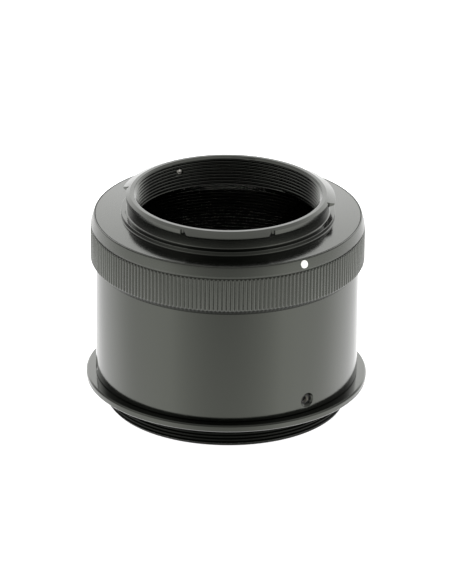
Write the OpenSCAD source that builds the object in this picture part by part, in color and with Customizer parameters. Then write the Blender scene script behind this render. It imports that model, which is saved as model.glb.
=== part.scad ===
// Photographic barlow: a telescope ring that turns on a barrel, a negative doublet in a
// screw-in cell, and a three-lug camera bayonet inside a knurled grip ring.
// The optical axis is +Z, the camera is at the top, and the origin is the centre of the base.

/* [Telescope ring] */
// Outside diameter of the male thread at the base
telescope_thread_d = 52; // [50:0.5:54]
// Height of the male thread, from the base to the flange
telescope_thread_h = 5.4; // [5:0.1:8]
// Outside diameter of the flange
flange_d = 60.9; // [60.5:0.1:66]
// Thickness of the flange
flange_t = 1.5; // [1.2:0.1:3]
// Outside diameter of the spigot that turns in the barrel
spigot_d = 50.8; // [50.4:0.1:50.9]

/* [Barrel] */
// Outside diameter of the barrel
barrel_d = 56.8; // [56:0.1:57]
// Height of the step that the grip ring sits on
grip_z = 32.2; // [30:0.1:36]
// Inside diameter over the crests of the baffle tube
baffle_d = 45.2; // [44:0.1:45.6]

/* [Grip ring] */
// Outside diameter over the ribs
grip_d = 59.4; // [59:0.1:60]
// Number of ribs in the knurl
rib_count = 204; // [60:12:240]
// Height of the ribs
rib_h = 7.2; // [5:0.1:7.2]
// Diameter of the index dot
dot_d = 1.75; // [1:0.05:2]
// Direction of the index dot, from +X towards +Y
dot_angle = -56; // [-180:1:180]

/* [Camera mount] */
// Height of the flange face that the camera seats on
camera_face_z = 43.46; // [43:0.01:44]
// Diameter of the neck under the lugs
neck_d = 43.66; // [43:0.02:44]
// Diameter over the lugs
lug_d = 46.3; // [46:0.1:47]
// Height of the neck above the flange face
neck_h = 4.88; // [4.6:0.02:5.2]
// Inside diameter over the crests of the camera-side thread
camera_thread_d = 39.7; // [39:0.1:40]

/* [Lens] */
// Diameter of the glass
lens_d = 42; // [41.6:0.1:42]
// Clear aperture of the cell
aperture_d = 39; // [38:0.1:39.2]

/* [Locking] */
// Height of the lock screws above the base
lock_z = 9.6; // [9.2:0.1:11]
// Diameter of the lock screws
lock_d = 3; // [2.5:0.1:3]
// Direction of the first lock screw, from +X towards +Y
lock_angle = -52; // [-180:1:180]

/* [Hidden] */

$fn = 180;
anodised = [0.10, 0.11, 0.10];
matt_black = [0.05, 0.05, 0.05];
blued_steel = [0.18, 0.18, 0.20];

// Fine thread shared by every ring: pitch, depth, and the share of a pitch on its crest
pitch = 0.75;
thread_depth = 0.43;
crest_share = 0.15;
// Radial gap of a screwed or glued seat, and of the fit that the barrel turns on
seat_gap = 0.03;
turning_gap = 0.05;
// Small edge chamfer
edge = 0.3;

telescope_r = telescope_thread_d / 2;
flange_z = telescope_thread_h;
flange_top = flange_z + flange_t;
flange_r = flange_d / 2;
spigot_r = spigot_d / 2;
spigot_top = flange_top + 7.1;
cell_thread_r = telescope_r - 2.4;
cell_r = cell_thread_r - 0.3;
cell_seat_r = cell_r + 0.7;
relief_r = telescope_r - 0.5;
barrel_r = barrel_d / 2;
barrel_z = flange_top + turning_gap;
barrel_neck_r = barrel_r - 1.4;
barrel_top = grip_z + 4.4;
groove_depth = 0.6;

// Optics: the crown's lower edge, its curves and its thickness, then the flint's
lens_r = lens_d / 2;
aperture_r = aperture_d / 2;
lens_z = 6.2;
lower_curve = 110;
middle_curve = 75;
upper_curve = 180;
crown_t = 2.2;
flint_t = 5;
cement = 0.02;
crown_bottom = lens_z + sagitta(lower_curve, lens_r);
crown_top = crown_bottom + crown_t;
flint_top = crown_top + cement + flint_t;
o_ring_r = 0.45;
o_ring_place = lens_r - 0.7;
o_ring_z = flint_top + sagitta(upper_curve, o_ring_place) + o_ring_r + cement;
cell_shoulder = o_ring_z + o_ring_r + cement;
cell_z = 2.4;
cell_top = cell_shoulder + 1.5;
retainer_r = lens_r + 0.5;
retainer_z = 4.4;
lock_ring_z = 0.9;
// Spanner slots: depth, length, and the distance of each from the axis
slot_depth = 0.8;
slot_l = 6;
cell_slot_r = cell_thread_r - 1;
retainer_slot_r = lens_r - 0.1;

// Baffle tube: it stands on a ledge in the barrel, just above the cell
ledge_z = cell_top + 1.5;
baffle_r = baffle_d / 2;
liner_r = baffle_r + 1.87;
baffle_top = 39.9;
baffle_turns = floor((baffle_top - ledge_z - 1) / pitch);

grip_r = grip_d / 2;
rib_z = grip_z + 1.35;
rib_depth = 0.25;
shoulder_z = rib_z + rib_h + 0.55;
shoulder_drop = 0.7;
under_cut_r = grip_r - 0.6;
// Index dot: its pocket is square to the sloping shoulder
dot_tilt = 18;
dot_depth = 0.35;
dot_z = shoulder_z + 1.05;
dot_r = grip_r - 0.29;
disc_t = 1.56;
disc_z = camera_face_z - disc_t;
disc_r = grip_r - 0.98;
clamp_r = 25.6;
clamp_h = 1.9;
clamp_seat = disc_z - 3;
hub_z = clamp_seat - clamp_h - 0.1;
clamp_slot_r = clamp_r + 0.8;

neck_r = neck_d / 2;
rim_top = camera_face_z + neck_h;
rim_r = neck_r + 0.24;
step_r = neck_r + 1.3;
step_h = 0.94;
lug_r = lug_d / 2;
// The lugs and the rim between them share one sloping top, outside a flat lip
lug_t = 1.3;
lip_r = neck_r - 0.58;
top_slope = 0.46;
bore_r = camera_thread_d / 2;
bore_thread_z = camera_face_z - 1.5;
bore_turns = 9;
bore_mouth_r = bore_r + 0.6;
bore_relief_r = bore_r + 1.75;
mount_edge = 0.12;
// Each lug: its direction and half its span at the neck, in degrees
lugs = [[-90, 25.4], [14.5, 25.4], [148.5, 22.5]];
lug_slant = 0.42;
// Round corner that the mill leaves at each end of a lug: radius, and angle past the end
corner_r = 0.45;
corner_turn = 0.8;
stop_angle = 122;
stop_z = camera_face_z + 2.36;
stop_r = 0.75;
stop_slot_w = 0.3;
stop_slot_depth = 0.35;
// Notch in the flange face for the camera's lock pin
notch_angle = 95;
notch_w = 2.5;
notch_l = 3;
notch_depth = 1.2;

lock_r = lock_d / 2;
lock_angles = [for (i = [0:2]) lock_angle + 120 * i];
pad_face = spigot_r + 0.1;
pad_t = 0.7;
screw_start = pad_face + pad_t + 0.03;
screw_l = 1.5;
socket_af = 1.5;
socket_depth = 0.9;

function sagitta(curve, r) = curve - sqrt(curve * curve - r * r);

// Crests and roots of a ring-grooved thread, from the bottom up
function thread(crest_r, root_r, z, turns) = [
    for (i = [0:turns - 1], p = [
        [crest_r, 0], [crest_r, crest_share],
        [root_r, 0.5], [root_r, 0.5 + crest_share]
    ]) if (i < turns - 1 || p[1] < 0.5) [p[0], z + (i + p[1]) * pitch]
];

function reversed(points) = [for (i = [len(points) - 1:-1:0]) points[i]];

module turned(points) rotate_extrude() polygon(points);

// Places its children's +Z along a radius, at height z
module radial(angle, z) rotate([0, 0, angle]) translate([0, 0, z]) rotate([0, 90, 0]) children();

// Two spanner slots across the lower face of a ring
module spanner_slots(r, z, width)
    for (side = [-1, 1])
        translate([side * r, 0, z]) cube([slot_l, width, 2 * slot_depth], center = true);

module telescope_ring() color(anodised) turned(concat(
    [[cell_thread_r + 0.7, 0], [telescope_r - 0.6, 0]],
    thread(telescope_r, telescope_r - thread_depth, 0.6, 6),
    [
        [relief_r, flange_z - 0.5], [relief_r, flange_z + 0.05],
        [telescope_r + 0.05, flange_z + 0.05], [telescope_r + 0.05, flange_z],
        [flange_r - edge, flange_z], [flange_r, flange_z + edge],
        [flange_r, flange_top - edge], [flange_r - edge, flange_top],
        [spigot_r, flange_top], [spigot_r, lock_z - groove_depth],
        [spigot_r - groove_depth, lock_z], [spigot_r, lock_z + groove_depth],
        [spigot_r, spigot_top - edge], [spigot_r - edge, spigot_top],
        [cell_r + 0.1, spigot_top], [cell_r + 0.1, flange_z + 0.9],
        [cell_thread_r + thread_depth, flange_z + 0.4]
    ],
    reversed(thread(cell_thread_r, cell_thread_r + thread_depth, 0.8, 6))
));

module lens_cell() color(matt_black) difference() {
    turned([
        [retainer_r, cell_z], [cell_thread_r - seat_gap, cell_z],
        [cell_thread_r - seat_gap, flange_z + 0.3], [cell_r, flange_z + 0.8],
        [cell_r, cell_top - edge], [cell_r - edge, cell_top], [aperture_r + 0.9, cell_top],
        [aperture_r, cell_shoulder + 0.6], [aperture_r, cell_shoulder],
        [lens_r + seat_gap, cell_shoulder], [lens_r + seat_gap, lens_z - 0.1],
        [retainer_r, lens_z - 0.1]
    ]);
    spanner_slots(cell_slot_r, cell_z, 2);
}

module cell_lock_ring() color(anodised) difference() {
    turned([
        [retainer_r, lock_ring_z], [cell_thread_r - seat_gap, lock_ring_z],
        [cell_thread_r - seat_gap, cell_z - 0.02], [retainer_r, cell_z - 0.02]
    ]);
    spanner_slots(cell_slot_r, lock_ring_z, 2);
}

module lens_retaining_ring() color(anodised) difference() {
    turned([
        [aperture_r + 0.5, retainer_z], [retainer_r - seat_gap, retainer_z],
        [retainer_r - seat_gap, lens_z - 0.15], [lens_r - 0.2, lens_z - 0.15],
        [lens_r - 0.2, lens_z - cement], [aperture_r, lens_z - cement],
        [aperture_r, retainer_z + 0.5]
    ]);
    spanner_slots(retainer_slot_r, retainer_z, 1.6);
}

module crown_lens() color([0.75, 0.85, 0.9, 0.4]) difference() {
    translate([0, 0, lens_z]) cylinder(r = lens_r, h = crown_top + 6 - lens_z);
    translate([0, 0, crown_bottom - lower_curve]) sphere(r = lower_curve);
    translate([0, 0, crown_top + middle_curve]) sphere(r = middle_curve);
}

module flint_lens() color([0.8, 0.85, 0.8, 0.4]) difference() {
    intersection() {
        cylinder(r = lens_r, h = flint_top + 5);
        translate([0, 0, crown_top + cement + middle_curve]) sphere(r = middle_curve);
    }
    translate([0, 0, flint_top + upper_curve]) sphere(r = upper_curve);
}

module lens_o_ring() color([0.03, 0.03, 0.03]) translate([0, 0, o_ring_z])
    rotate_extrude() translate([o_ring_place, 0]) circle(r = o_ring_r, $fn = 24);

module body_tube() color(anodised) difference() {
    turned([
        [spigot_r + turning_gap, barrel_z], [barrel_r - 0.2, barrel_z],
        [barrel_r, barrel_z + 0.2], [barrel_r, grip_z], [barrel_neck_r, grip_z],
        [barrel_neck_r, barrel_top - edge], [barrel_neck_r - edge, barrel_top],
        [liner_r + seat_gap, barrel_top], [liner_r + seat_gap, ledge_z],
        [cell_seat_r, ledge_z], [cell_seat_r, spigot_top + 0.3],
        [spigot_r + turning_gap, spigot_top + 0.3]
    ]);
    for (angle = lock_angles) radial(angle, lock_z) {
        translate([0, 0, spigot_r - 2]) cylinder(r = lock_r, h = 8, $fn = 48);
        translate([0, 0, barrel_r - 0.15]) cylinder(r1 = lock_r, r2 = lock_r + 0.4, h = 0.4, $fn = 48);
    }
}

module baffle_tube() color(matt_black) turned(concat(
    [[baffle_r + thread_depth, ledge_z], [liner_r, ledge_z], [liner_r, baffle_top]],
    [[baffle_r + thread_depth, baffle_top]],
    reversed(thread(baffle_r, baffle_r + thread_depth, ledge_z + 0.7, baffle_turns))
));

// Outline of the knurl: flat-topped ribs with narrow grooves between them
module knurl_outline() {
    step = 360 / rib_count;
    polygon([
        for (i = [0:rib_count - 1], p = [
            [-0.36, 0], [0.36, 0], [0.44, rib_depth], [0.56, rib_depth]
        ]) (grip_r - p[1]) * [cos((i + p[0]) * step), sin((i + p[0]) * step)]
    ]);
}

module grip_ring() color(anodised) difference() {
    union() {
        turned(concat([
            [barrel_neck_r + seat_gap, grip_z], [barrel_r + 0.1, grip_z],
            [grip_r - 0.05, rib_z - 0.05], [grip_r - 0.05, rib_z],
            [grip_r - rib_depth - 0.05, rib_z], [grip_r - rib_depth - 0.05, rib_z + rib_h],
            [under_cut_r, rib_z + rib_h], [under_cut_r, shoulder_z - 0.1],
            [grip_r, shoulder_z]
        ], [
            for (t = [0.25:0.25:1]) [
                grip_r - shoulder_drop * pow(t, 1.4),
                shoulder_z + (camera_face_z - 0.1 - shoulder_z) * t
            ]
        ], [
            [grip_r - shoulder_drop - 0.1, camera_face_z], [disc_r + 0.05, camera_face_z],
            [disc_r + 0.05, disc_z], [clamp_r + 0.05, disc_z], [clamp_r + 0.05, clamp_seat],
            [barrel_neck_r + seat_gap, clamp_seat]
        ]));
        translate([0, 0, rib_z]) linear_extrude(rib_h) difference() {
            knurl_outline();
            circle(r = under_cut_r - 0.6);
        }
    }
    dot_place() cylinder(r = dot_d / 2 + 0.01, h = 3, $fn = 48);
}

module dot_place() rotate([0, 0, dot_angle]) translate([dot_r, 0, dot_z])
    rotate([0, 90 - dot_tilt, 0]) translate([0, 0, -dot_depth]) children();

module index_dot() color("white") dot_place() {
    cylinder(r = dot_d / 2, h = dot_depth, $fn = 48);
}

module mount_clamp_ring() color(matt_black) difference() {
    turned([
        [clamp_r + 0.05, hub_z + 0.05], [barrel_neck_r - 0.1, hub_z + 0.05],
        [barrel_neck_r - 0.1, clamp_seat - 0.02], [clamp_r + 0.05, clamp_seat - 0.02]
    ]);
    spanner_slots(clamp_slot_r, hub_z, 2);
}

// Plan of one lug, a wedge with slanted ends
module lug_plan(direction, half_span) rotate([0, 0, direction]) {
    half_w = rim_r * sin(half_span);
    at = rim_r * cos(half_span);
    polygon([
        for (p = [[-4, 1], [-4, -1], [6, -1], [6, 1]])
            [at + p[0], p[1] * (half_w - p[0] * lug_slant)]
    ]);
}

// What is milled away between the lugs, down to the rim
module lug_gaps() {
    translate([0, 0, rim_top - lug_t - 1]) linear_extrude(lug_t + 2) difference() {
        circle(r = lug_r + 2);
        circle(r = rim_r);
        for (l = lugs) lug_plan(l[0], l[1]);
    }
    for (l = lugs, side = [-1, 1]) rotate([0, 0, l[0] + side * (l[1] + corner_turn)])
        translate([rim_r + 0.1, 0, rim_top - lug_t]) cylinder(r = corner_r, h = lug_t + 1, $fn = 32);
}

module bayonet_mount() color(anodised) difference() {
    turned(concat(
        [
            [bore_mouth_r, rim_top], [lip_r, rim_top],
            [lug_r, rim_top - top_slope * (lug_r - lip_r)], [lug_r, rim_top - lug_t],
            [rim_r - 0.05, rim_top - lug_t], [neck_r, rim_top - lug_t - 0.15],
            [neck_r, camera_face_z + step_h],
            [step_r - mount_edge, camera_face_z + step_h],
            [step_r, camera_face_z + step_h - mount_edge], [step_r, camera_face_z],
            [disc_r - mount_edge, camera_face_z], [disc_r, camera_face_z - mount_edge],
            [disc_r, disc_z], [clamp_r, disc_z], [clamp_r, hub_z],
            [liner_r + seat_gap, hub_z], [liner_r + seat_gap, baffle_top + 0.1],
            [bore_relief_r, baffle_top + 0.1], [bore_relief_r, camera_face_z - 2.1],
            [bore_mouth_r, camera_face_z - 1.96],
            [bore_r + thread_depth, camera_face_z - 1.76]
        ],
        thread(bore_r, bore_r + thread_depth, bore_thread_z, bore_turns),
        [[bore_r + thread_depth, rim_top - 0.15]]
    ));
    lug_gaps();
    radial(stop_angle, stop_z) cylinder(r = stop_r + seat_gap, h = 40, $fn = 32);
    rotate([0, 0, notch_angle])
        translate([step_r + 1.3, -notch_w / 2, camera_face_z - notch_depth])
            cube([notch_l, notch_w, 2 * notch_depth]);
}

// Headless screw, flush with the thread crests, with its slot towards the axis
module stop_screw() color(blued_steel) radial(stop_angle, stop_z)
    translate([0, 0, bore_r + 0.05]) difference() {
        cylinder(r = stop_r, h = neck_r - bore_r - 0.1, $fn = 32);
        translate([-stop_slot_w / 2, -stop_r - 0.1, -stop_slot_depth])
            cube([stop_slot_w, 2 * stop_r + 0.2, 2 * stop_slot_depth]);
    }

// Nylon pad: a short cone in the spigot's groove, under a round head
module lock_pad(index) color([0.9, 0.88, 0.8]) radial(lock_angles[index], lock_z) {
    translate([0, 0, pad_face - 0.48]) cylinder(r1 = 0.08, r2 = 0.56, h = 0.48, $fn = 32);
    translate([0, 0, pad_face]) cylinder(r = lock_r - 0.08, h = pad_t, $fn = 48);
}

// Headless screw with a hexagon socket
module lock_screw(index) color(blued_steel) radial(lock_angles[index], lock_z) difference() {
    translate([0, 0, screw_start]) cylinder(r = lock_r - 0.04, h = screw_l, $fn = 48);
    translate([0, 0, screw_start + screw_l - socket_depth])
        cylinder(r = socket_af / 2 / cos(30), h = 2, $fn = 6);
}

telescope_ring();
lens_cell();
cell_lock_ring();
lens_retaining_ring();
crown_lens();
flint_lens();
lens_o_ring();
body_tube();
baffle_tube();
grip_ring();
index_dot();
mount_clamp_ring();
bayonet_mount();
stop_screw();
lock_pad(0);  // lock_pad_1
lock_pad(1);  // lock_pad_2
lock_pad(2);  // lock_pad_3
lock_screw(0);  // lock_screw_1
lock_screw(1);  // lock_screw_2
lock_screw(2);  // lock_screw_3
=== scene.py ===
"""Looks of a photographic barlow: satin black anodised rings, fine threads, a straight knurl
and a coated doublet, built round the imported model. Lengths are in metres, along the row's axes."""

import math
import bmesh
import bpy
import numpy as np
from mathutils import Matrix, Vector


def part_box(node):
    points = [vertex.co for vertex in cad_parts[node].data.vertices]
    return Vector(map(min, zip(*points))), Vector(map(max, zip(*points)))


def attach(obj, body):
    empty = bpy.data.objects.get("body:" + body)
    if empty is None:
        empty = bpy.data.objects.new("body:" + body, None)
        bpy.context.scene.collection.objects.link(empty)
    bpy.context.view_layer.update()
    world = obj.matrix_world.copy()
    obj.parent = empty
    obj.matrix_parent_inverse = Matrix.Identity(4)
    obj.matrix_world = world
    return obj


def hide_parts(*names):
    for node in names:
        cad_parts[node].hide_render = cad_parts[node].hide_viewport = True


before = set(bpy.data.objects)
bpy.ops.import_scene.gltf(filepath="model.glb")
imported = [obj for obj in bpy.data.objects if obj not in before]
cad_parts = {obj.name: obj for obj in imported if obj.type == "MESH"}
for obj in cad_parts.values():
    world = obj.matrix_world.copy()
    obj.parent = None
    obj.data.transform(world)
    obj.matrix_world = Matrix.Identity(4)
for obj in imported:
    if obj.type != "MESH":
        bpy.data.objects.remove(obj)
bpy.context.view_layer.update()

MM = 0.001
TAU = 2 * math.pi

# Places read from the frame
ring_low, ring_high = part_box("telescope_ring")
cell_low, cell_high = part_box("lens_cell")
retainer_low, retainer_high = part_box("lens_retaining_ring")
lock_ring_low, lock_ring_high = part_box("cell_lock_ring")
crown_low, crown_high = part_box("crown_lens")
flint_low, flint_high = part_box("flint_lens")
tube_low, tube_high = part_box("body_tube")
baffle_low, baffle_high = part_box("baffle_tube")
grip_low, grip_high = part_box("grip_ring")
mount_low, mount_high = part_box("bayonet_mount")

# Columns of a lathe, and the knurl's ribs with the columns of each
COLUMNS = 360
RIBS = 204
RIB_COLUMNS = 8

# Sizes that the frame's boxes don't give: first the fine thread and the usual chamfer and gaps,
# which are the same on every ring
PITCH = 0.75 * MM
THREAD_DEPTH = 0.43 * MM
EDGE = 0.3 * MM
SEAT_GAP = 0.03 * MM
TURNING_GAP = 0.05 * MM

# Telescope end
THREAD_R = 26 * MM
CELL_THREAD_R = THREAD_R - 2.4 * MM
SPIGOT_R = 25.4 * MM
FLANGE_Z = 5.4 * MM
FLANGE_TOP = FLANGE_Z + 1.5 * MM
LENS_R = crown_high.x
APERTURE_R = 19.5 * MM
RETAINER_THREAD_R = LENS_R + 0.5 * MM

# Barrel: the tube's neck goes into the grip ring, whose inner ledge holds the bayonet
TUBE_NECK_R = tube_high.x - 1.4 * MM
BAFFLE_R = 22.6 * MM
CLAMP_R = 25.6 * MM
LEDGE_Z = mount_low.z + 2 * MM
DISC_Z = mount_low.z + 5 * MM

# Camera bayonet. Each lug has a direction and half its span, in degrees.
FACE_Z = grip_high.z
NECK_R = 21.83 * MM
STEP_R = NECK_R + 1.3 * MM
STEP_Z = FACE_Z + 0.94 * MM
RIM_R = NECK_R + 0.24 * MM
LIP_R = NECK_R - 0.58 * MM
LUG_R = 23.15 * MM
LUG_T = 1.3 * MM
LUGS = ((-90, 25.4), (14.5, 25.4), (148.5, 22.5))
TOP_SLOPE = 0.46
BORE_R = 19.85 * MM
BORE_PHASE = 0.1

# Screws and dot, with directions in degrees from +X towards +Y
LOCK_R = 1.5 * MM
LOCK_PITCH = 0.5 * MM
LOCK_Z = 9.6 * MM
LOCK_ANGLES = (-52, 68, 188)
STOP_ANGLE = 122
STOP_Z = FACE_Z + 2.36 * MM
DOT_ANGLE = -56


# ---------------------------------------------------------------- mesh helpers

def soften(points, size, steps=4):
    """The same outline with each corner sharper than 14 degrees rounded off. A point's third
    number, where it has one, is the radius of its own corner."""
    out = []
    for i, point in enumerate(points):
        corner = Vector(point[:2])
        before = Vector(points[i - 1][:2]) - corner
        after = Vector(points[(i + 1) % len(points)][:2]) - corner
        turn = math.pi - before.angle(after, math.pi)
        if turn < math.radians(14):
            out.append(tuple(corner))
            continue
        radius = point[2] if len(point) > 2 else size
        cut = min(radius * math.tan(min(turn, 2.4) / 2), 0.48 * before.length, 0.48 * after.length)
        start, end = corner + before.normalized() * cut, corner + after.normalized() * cut
        for step in range(steps + 1):
            t = step / steps
            out.append(tuple(start * (1 - t) ** 2 + corner * 2 * t * (1 - t) + end * t * t))
    return out


class Thread:
    """A helical stretch of an outline between two heights, with its crest and root as radii.
    Both ends fade to the root over fade millimetres. A thread that runs down its side of the
    outline has down set, and phase is a share of a turn added to the helix."""

    # Outline of one turn: share of the pitch, and share of the way from root to crest
    TURN = (
        (-0.03, 0.9), (0.02, 1), (0.13, 1), (0.18, 0.9),
        (0.48, 0.04), (0.53, 0), (0.62, 0), (0.67, 0.04),
    )

    def __init__(self, low, high, crest, root, pitch=PITCH, fade=0.45, down=False, phase=0):
        self.low, self.high, self.crest, self.root = low, high, crest, root
        self.pitch, self.fade, self.down, self.phase = pitch, fade, down, phase

    def rows(self, turns):
        """Radii and heights, one row for each outline point of each turn, and the number of
        rows that one turn of the helix climbs."""
        count = math.ceil((self.high - self.low) / self.pitch) + 1
        rows = []
        for k in range(-1, count + 1):
            for share, reach in self.TURN:
                z = self.low + (k + share + turns + self.phase) * self.pitch
                z = np.clip(z, self.low, self.high)
                edge = np.minimum(z - self.low, self.high - z) / (self.fade * MM)
                reach_here = np.minimum(reach, np.clip(edge, 0, 1))
                rows.append((self.root + (self.crest - self.root) * reach_here, z))
        return (rows[::-1], -len(self.TURN)) if self.down else (rows, len(self.TURN))


def new_mesh(name, vertices, faces, sharp=28, merge=1e-6):
    """An object from points and faces: merged, outward, smooth, with sharp edges by angle."""
    mesh = bpy.data.meshes.new(name)
    mesh.from_pydata([tuple(v) for v in vertices], [], faces)
    piece = bpy.data.objects.new(name, mesh)
    bpy.context.scene.collection.objects.link(piece)
    bm = bmesh.new()
    bm.from_mesh(mesh)
    bmesh.ops.remove_doubles(bm, verts=bm.verts, dist=merge)
    bmesh.ops.dissolve_degenerate(bm, edges=bm.edges, dist=merge)
    bmesh.ops.recalc_face_normals(bm, faces=bm.faces)
    bm.to_mesh(mesh)
    bm.free()
    shade(piece, sharp)
    return piece


def shade(piece, sharp=28):
    """Smooth faces, with a sharp edge wherever the surface turns by more than sharp degrees."""
    bm = bmesh.new()
    bm.from_mesh(piece.data)
    for face in bm.faces:
        face.smooth = True
    for edge in bm.edges:
        edge.smooth = len(edge.link_faces) == 2 and edge.calc_face_angle(0) < math.radians(sharp)
    bm.to_mesh(piece.data)
    bm.free()


def outline_rows(outline, turns):
    """The outline's rows of (radius, height), and for each row the first and last row that a
    helix may run along and the rows that it climbs in a turn."""
    rows, climb = [], []
    for item in outline:
        if isinstance(item, Thread):
            made, step = item.rows(turns)
            first, last = len(rows), len(rows) + len(made) - 1
            rows += made
            climb += [(first, last, step)] * len(made)
        else:
            rows.append(item)
            climb.append((len(rows) - 1, len(rows) - 1, 0))
    return rows, climb


def seam_row(i, climb):
    """The row that row i runs into where the last column meets the first."""
    first, last, step = climb[i]
    return min(max(i + step, first), last)


def lathe(name, outline, columns=COLUMNS, sharp=28):
    """A closed outline of (radius, height) points and Threads, turned about +Z. A radius or a
    height may be an array with one value for each column."""
    turns = np.arange(columns) / columns
    rows, climb = outline_rows(outline, turns)
    points = np.zeros((len(rows), columns, 3))
    for i, (r, z) in enumerate(rows):
        points[i, :, 0] = r * np.cos(turns * TAU)
        points[i, :, 1] = r * np.sin(turns * TAU)
        points[i, :, 2] = z
    faces = []
    last = columns - 1
    for i in range(len(rows)):
        here, above = i * columns, (i + 1) % len(rows) * columns
        for j in range(last):
            faces.append((here + j, here + j + 1, above + j + 1, above + j))
        a, b = seam_row(i, climb), seam_row((i + 1) % len(rows), climb)
        faces.append((here + last, a * columns, b * columns, above + last))
    return new_mesh(name, points.reshape(-1, 3), faces, sharp)


def cylinder(name, radius, low, high, columns=32):
    """A closed cylinder about +Z, used only as a cutter."""
    return lathe(name, [(0, low), (radius, low), (radius, high), (0, high)], columns)


def prism(name, corners, low, high):
    """A closed upright prism over corners given clockwise or anticlockwise, used as a cutter."""
    n = len(corners)
    points = [(x, y, z) for z in (low, high) for x, y in corners]
    sides = [(i, (i + 1) % n, n + (i + 1) % n, n + i) for i in range(n)]
    return new_mesh(name, points, [tuple(range(n)), tuple(range(2 * n - 1, n - 1, -1)), *sides])


def block(name, low, high):
    """A closed box between two corners, used only as a cutter."""
    corners = [(low[0], low[1]), (high[0], low[1]), (high[0], high[1]), (low[0], high[1])]
    return prism(name, corners, low[2], high[2])


def carve(piece, cutters, operation="DIFFERENCE", sharp=28):
    """Boolean of piece with closed cutters, which are then removed."""
    for cutter in cutters:
        m = piece.modifiers.new("cut", "BOOLEAN")
        m.operation, m.solver, m.object = operation, "EXACT", cutter
    graph = bpy.context.evaluated_depsgraph_get()
    made = bpy.data.meshes.new_from_object(piece.evaluated_get(graph))
    piece.modifiers.clear()
    piece.data = made
    for cutter in cutters:
        bpy.data.objects.remove(cutter)
    shade(piece, sharp)
    return piece


def place(piece, matrix):
    """Moves the mesh itself, so that the object stays at the origin."""
    piece.data.transform(matrix)
    return piece


def about_axis(angle):
    """A turn about the optical axis, in degrees."""
    return Matrix.Rotation(math.radians(angle), 4, "Z")


def along_radius(angle, height):
    """Turns +Z outward along a radius."""
    lift = Matrix.Translation((0, 0, height))
    return about_axis(angle) @ lift @ Matrix.Rotation(math.pi / 2, 4, "Y")


# ---------------------------------------------------------------- node helpers

class Nodes:
    """Short calls for building a node tree. An argument may be a number or another output."""

    def __init__(self, tree):
        self.tree = tree

    def add(self, kind, **values):
        node = self.tree.nodes.new(kind)
        for key, value in values.items():
            setattr(node, key, value)
        return node

    def put(self, value, socket):
        if isinstance(value, (int, float)):
            socket.default_value = value
        else:
            self.tree.links.new(value, socket)

    def math(self, operation, a, b=None):
        node = self.add("ShaderNodeMath", operation=operation)
        self.put(a, node.inputs[0])
        if b is not None:
            self.put(b, node.inputs[1])
        return node.outputs[0]

    def plus(self, a, b):
        return self.math("ADD", a, b)

    def minus(self, a, b):
        return self.math("SUBTRACT", a, b)

    def times(self, a, b):
        return self.math("MULTIPLY", a, b)

    def split(self, vector):
        """The three parts of a vector."""
        parts = self.add("ShaderNodeSeparateXYZ")
        self.put(vector, parts.inputs[0])
        return parts.outputs

    def length(self, x, y):
        return self.math("SQRT", self.plus(self.times(x, x), self.times(y, y)))

    def ramp(self, value, low, high, out_low, out_high, interpolation="LINEAR"):
        node = self.add("ShaderNodeMapRange", interpolation_type=interpolation)
        keys = ("Value", "From Min", "From Max", "To Min", "To Max")
        for key, number in zip(keys, (value, low, high, out_low, out_high)):
            self.put(number, node.inputs[key])
        return node.outputs["Result"]

    def smooth(self, value, low, high, out_low, out_high):
        return self.ramp(value, low, high, out_low, out_high, "SMOOTHSTEP")

    def blend(self, a, b, share):
        """a where share is 0, and b where it is 1."""
        return self.plus(self.times(a, self.minus(1, share)), self.times(b, share))


class Shader(Nodes):
    """A material's node tree round one Principled shader."""

    def __init__(self, name):
        self.material = bpy.data.materials.new(name)
        self.material.use_nodes = True
        super().__init__(self.material.node_tree)
        self.tree.nodes.clear()
        self.principled = self.add("ShaderNodeBsdfPrincipled")
        out = self.add("ShaderNodeOutputMaterial")
        self.put(self.principled.outputs["BSDF"], out.inputs["Surface"])
        self.where = self.add("ShaderNodeTexCoord").outputs["Object"]

    def drive(self, source, key):
        """Links an output to one of the shader's own sockets."""
        self.put(source, self.principled.inputs[key])

    def set(self, **values):
        """Sets the shader's own sockets to constants."""
        for key, value in values.items():
            self.principled.inputs[key.replace("_", " ")].default_value = value

    def lathe_place(self):
        """The lathe's own coordinates: the radius and the height, as X and Y."""
        x, y, z = self.split(self.where)
        rings = self.add("ShaderNodeCombineXYZ")
        self.put(self.length(x, y), rings.inputs[0])
        self.put(z, rings.inputs[1])
        return rings.outputs[0]

    def noise(self, scale, detail=3, roughness=0.55, vector=None):
        node = self.add("ShaderNodeTexNoise")
        node.inputs["Scale"].default_value = scale
        node.inputs["Detail"].default_value = detail
        node.inputs["Roughness"].default_value = roughness
        self.put(vector or self.where, node.inputs["Vector"])
        return node.outputs["Fac"]

    def colours(self, value, *stops):
        """A colour ramp through stops of (place, colour)."""
        node = self.add("ShaderNodeValToRGB")
        self.put(value, node.inputs["Fac"])
        ramp = node.color_ramp
        for i, (at, colour) in enumerate(stops):
            element = ramp.elements[i] if i < 2 else ramp.elements.new(at)
            element.position, element.color = at, (*colour, 1)
        return node.outputs["Color"]

    def bump(self, height, strength, distance):
        node = self.add("ShaderNodeBump")
        node.inputs["Strength"].default_value = strength
        node.inputs["Distance"].default_value = distance
        self.put(height, node.inputs["Height"])
        self.drive(node.outputs["Normal"], "Normal")


# ---------------------------------------------------------------- materials

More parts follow.
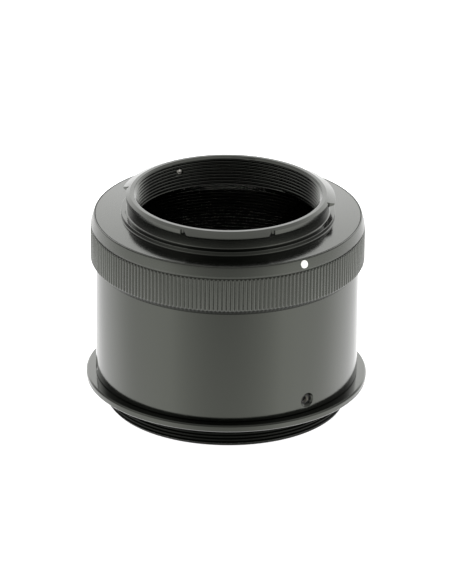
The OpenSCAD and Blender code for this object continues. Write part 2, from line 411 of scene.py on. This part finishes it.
def rubbed(shader, colour, cloud, rings, wear, worn_r):
    """The colour rubbed paler in patches beyond the radius worn_r, as on the tops of ribs."""
    crests = shader.ramp(shader.split(rings)[0], worn_r - 0.06 * MM, worn_r, 0, 1)
    worn = shader.times(crests, shader.ramp(cloud, 0.35, 0.65, 0.2, 1))
    mix = shader.add("ShaderNodeMix", data_type="RGBA")
    shader.put(shader.times(worn, wear), mix.inputs["Factor"])
    shader.put(colour, mix.inputs["A"])
    mix.inputs["B"].default_value = (0.12, 0.12, 0.115, 1)
    return mix.outputs["Result"]


def anodised(name, dark, light, rough, turning=0.25, wear=0.0, worn_r=0.0, sheen=0.5):
    """Dyed anodised aluminium: a near-black film with a grey-green cast, fine blasted grain, and faint
    turning rings that follow the lathe. A sheen under 0.5 is painted shade, dimming the reflections where the
    part stands in shadow, and wear rubs it paler beyond the radius worn_r."""
    shader = Shader(name)
    rings = shader.lathe_place()
    cloud = shader.noise(120, 4)
    grain = shader.noise(9000, 2)
    marks = shader.noise(5200, 3, 0.7, rings)
    tone = shader.plus(shader.times(cloud, 0.7), shader.times(marks, 0.3))
    colour = shader.colours(tone, (0.3, dark), (0.75, light))
    if wear:
        colour = rubbed(shader, colour, cloud, rings, wear, worn_r)
    shader.drive(colour, "Base Color")
    shader.drive(shader.ramp(tone, 0.3, 0.7, rough - 0.03, rough + 0.04), "Roughness")
    shader.bump(shader.plus(shader.times(marks, turning), shader.times(grain, 0.35)), 0.3, 0.003 * MM)
    shader.set(IOR=1.5, Specular_IOR_Level=sheen, Specular_Tint=(0.96, 1.0, 0.88, 1))
    return shader.material


def enamel(name):
    """White paint, brushed into the dot's pocket."""
    shader = Shader(name)
    cloud = shader.noise(2500, 3)
    shader.drive(shader.colours(cloud, (0.3, (0.78, 0.77, 0.72)), (0.7, (0.9, 0.89, 0.86))), "Base Color")
    shader.drive(shader.ramp(cloud, 0.3, 0.7, 0.3, 0.45), "Roughness")
    shader.bump(cloud, 0.3, 0.02 * MM)
    return shader.material


def steel(name, dark, light, rough):
    """Screw steel, from black oxide to worn and bright by its two colours."""
    shader = Shader(name)
    cloud = shader.noise(1800, 4)
    shader.drive(shader.colours(cloud, (0.3, dark), (0.75, light)), "Base Color")
    shader.drive(shader.ramp(cloud, 0.3, 0.7, rough - 0.08, rough + 0.08), "Roughness")
    shader.bump(shader.noise(9000, 2), 0.25, 0.01 * MM)
    shader.set(Metallic=0.85)
    return shader.material


def coated_glass(name, tint):
    """Optical glass: clear, with the green cast of its coating, and a trace of dust."""
    shader = Shader(name)
    dust = shader.noise(900, 5, 0.7)
    shader.drive(shader.colours(dust, (0.4, tint), (0.8, (0.97, 1, 0.98))), "Base Color")
    shader.drive(shader.ramp(dust, 0.55, 0.8, 0.0, 0.04), "Roughness")
    shader.set(IOR=1.52, Transmission_Weight=1.0, Specular_Tint=(0.45, 1.0, 0.62, 1))
    return shader.material


def soft_black(name, rough):
    """Matt black rubber."""
    shader = Shader(name)
    cloud = shader.noise(1500, 4)
    shader.drive(shader.colours(cloud, (0.3, (0.012,) * 3), (0.7, (0.03,) * 3)), "Base Color")
    shader.drive(shader.ramp(cloud, 0.3, 0.7, rough - 0.08, rough + 0.08), "Roughness")
    shader.bump(shader.noise(7000, 2), 0.3, 0.01 * MM)
    return shader.material


def natural_nylon(name):
    """Undyed nylon, cream and slightly cloudy."""
    shader = Shader(name)
    cloud = shader.noise(1500, 4)
    shader.drive(shader.colours(cloud, (0.3, (0.66, 0.63, 0.53)), (0.7, (0.8, 0.78, 0.7))), "Base Color")
    shader.drive(shader.ramp(cloud, 0.3, 0.7, 0.4, 0.55), "Roughness")
    shader.bump(cloud, 0.2, 0.02 * MM)
    return shader.material


DARK_FILM, LIGHT_FILM = (0.0006, 0.0008, 0.0006), (0.0016, 0.0019, 0.0015)
SATIN = anodised("satin_anodised", DARK_FILM, LIGHT_FILM, 0.15)
# Painted shade: the satin finish with its sheen cut to 0.12, which darkens the male thread as the shadow near
# the floor does.
SHADED_THREAD = anodised("thread_painted_shade", DARK_FILM, LIGHT_FILM, 0.18, sheen=0.12)
KNURLED = anodised(
    "knurled_anodised", (0.001, 0.0013, 0.001), (0.003, 0.0034, 0.0028), 0.24,
    turning=0.15, wear=0.12, worn_r=grip_high.x,
)
MATT = anodised("matt_anodised", (0.0008, 0.001, 0.0008), (0.002, 0.0022, 0.002), 0.32)
ENAMEL = enamel("white_enamel")
OXIDE = steel("black_oxide", (0.006, 0.006, 0.007), (0.03, 0.029, 0.028), 0.36)
BRIGHT = steel("worn_steel", (0.5, 0.49, 0.44), (0.75, 0.74, 0.68), 0.55)
CROWN = coated_glass("crown_glass", (0.975, 0.995, 0.985))
FLINT = coated_glass("flint_glass", (0.98, 0.995, 0.98))
RUBBER = soft_black("black_rubber", 0.6)
NYLON = natural_nylon("natural_nylon")


def finish_piece(piece, body, material, slot, *nodes):
    """Gives a piece its material and its body, and hides the CAD nodes that it stands for. The slot is not
    used.
    """
    piece.data.materials.clear()
    piece.data.materials.append(material)
    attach(piece, body)
    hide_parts(*nodes)
    return piece


def second_finish(piece, material, chosen):
    """Gives another material to the faces for which chosen(face) is true."""
    piece.data.materials.append(material)
    for face in piece.data.polygons:
        if chosen(face):
            face.material_index = 1
    return piece


# ---------------------------------------------------------------- telescope end

def telescope_ring():
    """Male thread, flange, and the spigot that the barrel turns on, with its V groove."""
    r, top, relief, bevel, groove = ring_high.x, ring_high.z, THREAD_R - 0.5 * MM, 0.2 * MM, 0.6 * MM
    bore, thread_root = SPIGOT_R - 2 * MM, CELL_THREAD_R + THREAD_DEPTH
    outline = [
        (CELL_THREAD_R + 0.7 * MM, 0), (THREAD_R - 0.65 * MM, 0),
        Thread(0.2 * MM, FLANGE_Z - 0.45 * MM, THREAD_R, THREAD_R - THREAD_DEPTH, fade=0.5),
    ]
    outline += soften([
        (relief, FLANGE_Z - 0.4 * MM), (relief, FLANGE_Z), (r - bevel, FLANGE_Z), (r, FLANGE_Z + bevel),
        (r, FLANGE_TOP - EDGE), (r - EDGE, FLANGE_TOP), (SPIGOT_R, FLANGE_TOP),
        (SPIGOT_R, LOCK_Z - groove), (SPIGOT_R - groove, LOCK_Z), (SPIGOT_R, LOCK_Z + groove),
        (SPIGOT_R, top - EDGE), (SPIGOT_R - EDGE, top), (bore, top),
        (bore, FLANGE_TOP - 0.6 * MM), (thread_root, FLANGE_TOP - 1.1 * MM),
    ], 0.06 * MM)
    outline += [Thread(0.5 * MM, FLANGE_TOP - 1.3 * MM, CELL_THREAD_R, thread_root, down=True)]
    piece = lathe("threaded_flange_ring", outline)
    finish_piece(piece, "telescope_end", SATIN, "black_anodised", "telescope_ring")

    # Painted shade: the male thread under the flange takes the dimmed copy of the satin finish in place of
    # the shadow near the floor.
    def on_male_thread(face):
        return face.center.z < FLANGE_Z and face.center.xy.length > THREAD_R - MM

    return second_finish(piece, SHADED_THREAD, on_male_thread)


def slotted_ring(name, outline, slot_r, low, depth, width=2 * MM):
    """A turned ring with two spanner slots cut across its lower face."""
    half_length, half_width = 2.4 * MM, width / 2
    cutters = []
    for middle in (-slot_r, slot_r):
        near = (middle - half_length, -half_width, low - MM)
        far = (middle + half_length, half_width, low + depth)
        cutters.append(block("slot", near, far))
    return carve(lathe(name, outline, 240), cutters)


def lens_cell():
    """Screw-in cell: the glass goes in from below, up to the shoulder, and a ring holds it."""
    r, low, top, neck = cell_high.x, cell_low.z, cell_high.z, CELL_THREAD_R - 0.3 * MM
    shoulder, ledge, seat = top - 1.5 * MM, crown_low.z - 0.1 * MM, LENS_R + SEAT_GAP
    outline = soften([
        (RETAINER_THREAD_R, low), (r, low), (r, crown_low.z - 0.5 * MM), (neck, crown_low.z),
        (neck, top - EDGE), (neck - EDGE, top), (APERTURE_R + 0.9 * MM, top),
        (APERTURE_R, shoulder + 0.6 * MM), (APERTURE_R, shoulder), (seat, shoulder),
        (seat, ledge), (RETAINER_THREAD_R, ledge),
    ], 0.1 * MM)
    piece = slotted_ring("doublet_cell", outline, CELL_THREAD_R - MM, low, 0.8 * MM)
    return finish_piece(piece, "telescope_end", MATT, "matt_black", "lens_cell")


def glass_retainer():
    """Ring with a low lip that presses on the edge of the glass."""
    r, low, top = retainer_high.x, retainer_low.z, retainer_high.z
    lip_r, foot = APERTURE_R + 1.3 * MM, top - 0.13 * MM
    outline = soften([
        (APERTURE_R + 0.5 * MM, low), (r, low), (r, foot), (lip_r, foot), (lip_r, top),
        (APERTURE_R, top), (APERTURE_R, low + 0.5 * MM),
    ], 0.06 * MM)
    piece = slotted_ring("glass_retainer", outline, LENS_R - 0.1 * MM, low, 0.8 * MM, 1.6 * MM)
    return finish_piece(piece, "telescope_end", MATT, "matt_black", "lens_retaining_ring")


def cell_jam_ring():
    """Slotted ring that locks the cell in its thread."""
    r, bore, low, top = lock_ring_high.x, RETAINER_THREAD_R, lock_ring_low.z, lock_ring_high.z
    outline = soften([(bore, low), (r, low), (r, top), (bore, top)], 0.1 * MM)
    piece = slotted_ring("cell_jam_ring", outline, CELL_THREAD_R - MM, low, 0.7 * MM)
    return finish_piece(piece, "telescope_end", MATT, "matt_black", "cell_lock_ring")


def arc(curve, height, steps=24):
    """Points along a lens surface, from the axis outward. A positive curve rises."""
    return [
        (r, height + math.copysign(abs(curve) - math.sqrt(curve * curve - r * r), curve))
        for r in (LENS_R * i / steps for i in range(steps + 1))
    ]


def rise(curve):
    """Height that a lens surface gains from the axis to its edge."""
    return arc(curve, 0)[-1][1]


def lenses():
    """Crown and flint of the cemented doublet."""
    lower, middle, upper, cement = 110 * MM, 75 * MM, 180 * MM, 0.02 * MM
    crown_bottom = crown_low.z + rise(lower)
    crown_top = crown_high.z - rise(middle)
    flint_top = flint_high.z - rise(upper)
    for name, node, glass, bottom, top in (
        ("crown_element", "crown_lens", CROWN, arc(-lower, crown_bottom), arc(middle, crown_top)),
        ("flint_element", "flint_lens", FLINT, arc(middle, crown_top + cement), arc(upper, flint_top)),
    ):
        piece = lathe(name, bottom + top[::-1], 180, 40)
        finish_piece(piece, "telescope_end", glass, "coated_glass", node)


# ---------------------------------------------------------------- barrel

def lock_tap(angle):
    """The threaded hole of one lock screw, as a cutter, with a countersunk mouth."""
    root, mouth = LOCK_R - 0.27 * MM, 4.7 * MM
    tap = lathe("tap", [
        (0, 0), (LOCK_R - 0.3 * MM, 0),
        Thread(0, mouth - 0.1 * MM, LOCK_R, root, LOCK_PITCH, fade=0.05),
        (root, mouth), (LOCK_R + 0.05 * MM, mouth + 0.18 * MM),
        (LOCK_R + 0.3 * MM, mouth + 0.5 * MM), (0, mouth + 0.5 * MM),
    ], 72)
    start = tube_high.x - 5 * MM
    return place(tap, along_radius(angle, LOCK_Z) @ Matrix.Translation((0, 0, start)))


def body_tube():
    """Plain tube with a neck for the grip ring and a ledge for the baffle."""
    r, low, top, bore = tube_high.x, tube_low.z, tube_high.z, SPIGOT_R + TURNING_GAP
    ledge_r, ledge_z, liner = BAFFLE_R + 1.4 * MM, ring_high.z + 0.3 * MM, baffle_high.x + SEAT_GAP
    bevel = 0.15 * MM
    outline = soften([
        (bore, low), (r - bevel, low), (r, low + bevel), (r, grip_low.z), (TUBE_NECK_R, grip_low.z),
        (TUBE_NECK_R, top - EDGE), (TUBE_NECK_R - EDGE, top), (liner, top), (liner, baffle_low.z),
        (ledge_r, baffle_low.z), (ledge_r, ledge_z), (bore, ledge_z),
    ], 0.12 * MM)
    piece = carve(lathe("barrel_tube", outline, 720), [lock_tap(angle) for angle in LOCK_ANGLES])
    return finish_piece(piece, "barrel", SATIN, "black_anodised", "body_tube")


def baffle_tube():
    """Liner whose inner thread breaks up stray light."""
    r, low, top = baffle_high.x, baffle_low.z, baffle_high.z
    root = BAFFLE_R + THREAD_DEPTH
    bore = root + 0.1 * MM
    outline = soften([(bore, low), (r, low), (r, top), (bore, top)], 0.1 * MM)
    outline += [Thread(low + 0.2 * MM, top - 0.15 * MM, BAFFLE_R, root, fade=0.2, down=True)]
    piece = lathe("ribbed_baffle", outline, 240)
    return finish_piece(piece, "barrel", SATIN, "matt_black", "baffle_tube")


def rib_profile(columns):
    """Share of the rib's height at each column: a crowned top with a narrow groove beside it."""
    shape = np.array([0.6, 0.88, 1, 1, 0.88, 0.6, 0, 0], float)
    return np.tile(shape, columns // RIB_COLUMNS)


def knurl(low, high, depth):
    """Outline of the ribs, whose ends run out on small chamfers."""
    floor = grip_high.x - depth
    ribs = rib_profile(RIBS * RIB_COLUMNS)
    return [
        (floor - 0.02 * MM, low - depth),
        (floor + ribs * 0.05 * MM, low - depth + 0.04 * MM),
        (floor + ribs * (depth - 0.03 * MM), low - 0.02 * MM),
        (floor + ribs * depth, low + 0.06 * MM),
        (floor + ribs * depth, high - 0.3 * MM),
        (floor + ribs * (depth - 0.05 * MM), high - 0.2 * MM),
        (floor + ribs * 0.02 * MM, high - 0.02 * MM),
        (floor, high),
    ]


def grip_ring():
    """Knurled ring, with a groove above the ribs and a sloping shoulder up to the face."""
    r, low, depth = grip_high.x, grip_low.z, 0.22 * MM
    ribs_low, ribs_high = low + 1.35 * MM, low + 8.55 * MM
    under, shoulder, lip = r - 0.4 * MM, ribs_high + 0.55 * MM, r - 0.7 * MM
    seat, ledge, bore = mount_high.x + 0.05 * MM, CLAMP_R + 0.05 * MM, TUBE_NECK_R + SEAT_GAP
    outline = [
        (bore, low), (tube_high.x + 0.02 * MM, low), (tube_high.x + 0.1 * MM, low + 0.05 * MM),
        *knurl(ribs_low, ribs_high, depth),
    ]
    outline += soften([
        (r - depth, ribs_high), (under, ribs_high + 0.02 * MM), (under, shoulder - 0.2 * MM),
        (r - 0.04 * MM, shoulder - 0.06 * MM, 0.3 * MM), (lip + 0.08 * MM, FACE_Z - 0.2 * MM, 0.3 * MM),
        (lip - 0.04 * MM, FACE_Z, 0.1 * MM), (seat, FACE_Z, 0.03 * MM), (seat, DISC_Z),
        (ledge, DISC_Z), (ledge, LEDGE_Z), (bore, LEDGE_Z), (bore, low + MM),
    ], 0.06 * MM, 3)[1:]
    piece = lathe("knurled_grip", outline, RIBS * RIB_COLUMNS)
    return finish_piece(piece, "barrel", KNURLED, "black_anodised", "grip_ring")


# ---------------------------------------------------------------- bayonet

def lug_wedge(direction, half_span):
    """A wedge with slanted ends, seen from above: where one lug is left standing."""
    half_angle, slant = math.radians(half_span), 0.42
    reach, half = RIM_R * math.cos(half_angle), RIM_R * math.sin(half_angle)
    inner, outer = -4 * MM, 6 * MM
    plan = [(inner, 1), (inner, -1), (outer, -1), (outer, 1)]
    corners = [(reach + along, side * (half - along * slant)) for along, side in plan]
    wedge = prism("wedge", corners, mount_high.z - 4 * MM, mount_high.z + 4 * MM)
    return place(wedge, about_axis(direction))


def lug_gaps():
    """What is milled away between the lugs, down to the rim."""
    low, high = mount_high.z - LUG_T - MM, mount_high.z + MM
    gaps = lathe("gaps", [(RIM_R, low), (LUG_R + MM, low), (LUG_R + MM, high), (RIM_R, high)])
    return carve(gaps, [lug_wedge(*lug) for lug in LUGS])


def mill_corners():
    """The round corner that the mill leaves beside each end of each lug."""
    radius, beside, out = 0.45 * MM, 0.8, RIM_R + 0.1 * MM
    corners = []
    for direction, half_span in LUGS:
        for side in (-1, 1):
            corner = cylinder("corner", radius, mount_high.z - LUG_T, mount_high.z + MM)
            turn = about_axis(direction + side * (half_span + beside))
            corners.append(place(corner, turn @ Matrix.Translation((out, 0, 0))))
    return corners


def stop_hole():
    """Radial hole of the stop screw."""
    hole = cylinder("hole", 0.78 * MM, 15 * MM, 24 * MM)
    return place(hole, along_radius(STOP_ANGLE, STOP_Z))


def lock_pin_notch():
    """Notch in the flange face for the camera's lock pin, behind the neck."""
    half_width, depth, inner, outer = 1.25 * MM, 1.2 * MM, STEP_R + 1.3 * MM, STEP_R + 4.3 * MM
    notch = block("notch", (inner, -half_width, FACE_Z - depth), (outer, half_width, FACE_Z + depth))
    return place(notch, about_axis(95))


def bayonet_mount():
    """Disc, step and neck with three lugs, and the filter thread inside."""
    top, low, disc = mount_high.z, mount_low.z, mount_high.x
    lug_low, seat, relief = top - LUG_T, baffle_high.x + 0.05 * MM, BORE_R + 1.75 * MM
    thread_root, seat_z, relief_z = BORE_R + THREAD_DEPTH, baffle_high.z + 0.1 * MM, FACE_Z - 2.1 * MM
    outline = soften([
        (BORE_R + 0.55 * MM, top, 0.12 * MM), (LIP_R, top), (LUG_R, top - TOP_SLOPE * (LUG_R - LIP_R)),
        (LUG_R - 0.05 * MM, lug_low, 0.3 * MM), (RIM_R, lug_low), (NECK_R, lug_low - 0.15 * MM, 0.05 * MM),
        (NECK_R, STEP_Z, 0.3 * MM), (STEP_R, STEP_Z, 0.12 * MM), (STEP_R, FACE_Z, 0.2 * MM),
        (disc - 0.08 * MM, FACE_Z, 0.03 * MM), (disc - 0.08 * MM, FACE_Z - 0.6 * MM),
        (disc, FACE_Z - 0.7 * MM), (disc, DISC_Z), (CLAMP_R, DISC_Z), (CLAMP_R, low), (seat, low),
        (seat, seat_z), (relief, seat_z), (relief, relief_z), (thread_root + 0.04 * MM, relief_z + 0.12 * MM),
    ], 0.07 * MM)
    thread_low, thread_high = relief_z + 0.2 * MM, top - 0.16 * MM
    outline += [Thread(thread_low, thread_high, BORE_R, thread_root, fade=0.3, phase=BORE_PHASE)]
    piece = lathe("bayonet_ring", outline)
    carve(piece, [lug_gaps(), *mill_corners(), stop_hole(), lock_pin_notch()])
    return finish_piece(piece, "barrel", SATIN, "black_anodised", "bayonet_mount")


# ---------------------------------------------------------------- dot and screws

def index_dot():
    """White enamel fill, a little domed, square to the sloping shoulder."""
    radius, depth = 0.865 * MM, 0.35 * MM
    slope, inward, below = 18, 0.29 * MM, 1.11 * MM
    piece = lathe("index_mark", [
        (0, 0), (radius, 0), (radius, depth - 0.02 * MM), (radius - 0.05 * MM, depth + 0.01 * MM),
        (radius * 0.6, depth + 0.035 * MM), (0, depth + 0.05 * MM),
    ], 64, 40)
    pocket = Matrix.Translation((grip_high.x - inward, 0, FACE_Z - below))
    tilt = Matrix.Rotation(math.radians(90 - slope), 4, "Y")
    place(piece, about_axis(DOT_ANGLE) @ pocket @ tilt @ Matrix.Translation((0, 0, -depth)))
    return finish_piece(piece, "barrel", ENAMEL, "white_paint", "index_dot")


def hexagon(across, low, high):
    """A six-sided prism with a corner towards +X, used as a cutter."""
    r = across / 2 / math.cos(math.pi / 6)
    corners = [(r * math.cos(i * math.pi / 3), r * math.sin(i * math.pi / 3)) for i in range(6)]
    return prism("hexagon", corners, low, high)


def lock_screw(number, angle):
    """Headless socket screw, whose socket's walls are worn bright."""
    start, length, across = 26.23 * MM, 1.5 * MM, 1.5 * MM
    crest, root = LOCK_R - 0.04 * MM, LOCK_R - 0.3 * MM
    piece = lathe(f"socket_screw_{number}", [
        (0, 0), (root - 0.1 * MM, 0),
        Thread(0.05 * MM, length - 0.06 * MM, crest, root, LOCK_PITCH, fade=0.25),
        (root - 0.03 * MM, length), (0, length),
    ], 72)
    carve(piece, [hexagon(across, length - 0.9 * MM, length + MM)])
    finish_piece(piece, f"screw_{number}", OXIDE, "blued_steel", f"lock_screw_{number}")

    def in_socket_wall(face):
        return face.center.xy.length < across / 2 + 0.05 * MM and abs(face.normal.z) < 0.1

    second_finish(piece, BRIGHT, in_socket_wall)
    return place(piece, along_radius(angle, LOCK_Z) @ Matrix.Translation((0, 0, start)))


def stop_screw():
    """Slotted headless screw, whose bright cone tip shows among the thread crests."""
    start, end, r = BORE_R + 0.05 * MM, NECK_R - 0.05 * MM, 0.75 * MM
    cone, half_slot, slot_depth = 0.5 * MM, 0.16 * MM, 0.45 * MM
    piece = lathe("stop_screw_steel", [
        (0, start), (r * 0.3, start + 0.02 * MM), (r * 0.6, start + 0.12 * MM),
        (r * 0.85, start + 0.3 * MM), (r, start + cone), (r, end), (0, end),
    ], 48)
    carve(piece, [block("slot", (-half_slot, -MM, start - MM), (half_slot, MM, start + slot_depth))])
    finish_piece(piece, "barrel", OXIDE, "blued_steel", "stop_screw")
    second_finish(piece, BRIGHT, lambda face: face.center.z < start + cone and face.normal.z < -0.1)
    return place(piece, along_radius(STOP_ANGLE, STOP_Z))


def carried_over():
    """CAD nodes that keep their own shape get their finish here."""
    pads = {f"lock_pad_{number}": NYLON for number in (1, 2, 3)}
    for node, material in {"lens_o_ring": RUBBER, "mount_clamp_ring": MATT, **pads}.items():
        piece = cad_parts[node]
        piece.data.materials.clear()
        piece.data.materials.append(material)


# ---------------------------------------------------------------- stage

def camera():
    """Long lens, 23.3 degrees above the horizon, aimed a little under the flange face."""
    target, distance = Vector((0, 0, FACE_Z)), 1.786
    elevation, roll = math.radians(23.3), math.radians(0.63)
    below, aside = math.radians(0.5445), math.radians(0.0139)
    data = bpy.data.cameras.new("camera")
    data.sensor_width, data.lens = 36, 509.8
    data.clip_start, data.clip_end = 0.05, 50
    item = bpy.data.objects.new("camera", data)
    bpy.context.scene.collection.objects.link(item)
    place_at = target + Vector((0, -math.cos(elevation), math.sin(elevation))) * distance
    aim = Matrix.Rotation(math.pi / 2 - elevation, 4, "X") @ Matrix.Rotation(roll, 4, "Z")
    offset = Matrix.Rotation(-below, 4, "X") @ Matrix.Rotation(aside, 4, "Y")
    item.matrix_world = Matrix.Translation(place_at) @ aim @ offset
    bpy.context.scene.camera = item


def floor():
    """A pale acrylic sheet, faintly lit from below as on a product table. Mirror-like surfaces
    see the light tent under the horizon in its place."""
    low, reach = -0.02 * MM, 6
    corners = [(-reach, -reach, low), (reach, -reach, low), (reach, reach, low), (-reach, reach, low)]
    sheet = new_mesh("floor", corners, [(0, 1, 2, 3)])
    shader = Shader("pale_acrylic")
    cloud = shader.noise(4, 2)
    shader.drive(shader.colours(cloud, (0.3, (0.9,) * 3), (0.7, (0.93,) * 3)), "Base Color")
    shader.set(Roughness=0.6, Emission_Color=(1, 1, 1, 1), Emission_Strength=0.9)
    sheet.data.materials.append(shader.material)
    sheet.visible_glossy = False


def front_light(nodes, z):
    """Brighter below, with the dark room behind the photographer above the horizon."""
    return nodes.plus(nodes.smooth(z, -0.6, 0.0, 2.05, 1.25), nodes.smooth(z, 0.2, 0.35, 0, -1.05))


def tent_light(nodes, x, z, forward):
    """Tents at the sides and the back, dimmer below at the back and above at the sides."""
    under_back = nodes.times(nodes.smooth(forward, 0.3, 1.05, 0, 0.85), nodes.smooth(z, -0.2, 0.1, 1, 0))
    high_sides = nodes.times(nodes.smooth(forward, 0.6, 0.9, 1.9, -0.1), nodes.smooth(z, 0.1, 0.3, 0, 1))
    sides = nodes.plus(nodes.smooth(forward, -0.5, 0.1, 3.0, 2.6), nodes.times(x, 0.1))
    return nodes.minus(sides, nodes.plus(under_back, high_sides))


def studio():
    """Light tents on three sides and a dark room behind the photographer, as a world whose
    brightness follows the direction: bright at the back and sides, dimmer at the front."""
    scene = bpy.context.scene
    scene.view_settings.view_transform = "Standard"
    scene.view_settings.look = "None"
    scene.world = bpy.data.worlds.new("studio")
    scene.world.use_nodes = True
    nodes = Nodes(scene.world.node_tree)
    x, y, z = nodes.split(nodes.add("ShaderNodeTexCoord").outputs["Generated"])
    forward = nodes.math("DIVIDE", y, nodes.math("MAXIMUM", nodes.length(x, y), 0.001))
    around = nodes.ramp(forward, -1.0, -0.65, 0, 1)
    walls = nodes.blend(front_light(nodes, z), tent_light(nodes, x, z, forward), around)
    ceiling = nodes.smooth(y, -0.35, 0.1, 0.6, 1.7)
    light = nodes.blend(walls, ceiling, nodes.smooth(z, 0.5, 0.8, 0, 1))
    background = nodes.tree.nodes["Background"]
    nodes.put(light, background.inputs["Strength"])
    background.inputs["Color"].default_value = (1, 1, 1, 1)


telescope_ring()
lens_cell()
glass_retainer()
cell_jam_ring()
lenses()
body_tube()
baffle_tube()
grip_ring()
bayonet_mount()
index_dot()
for number, angle in enumerate(LOCK_ANGLES, 1):
    lock_screw(number, angle)
stop_screw()
carried_over()
floor()
studio()
camera()
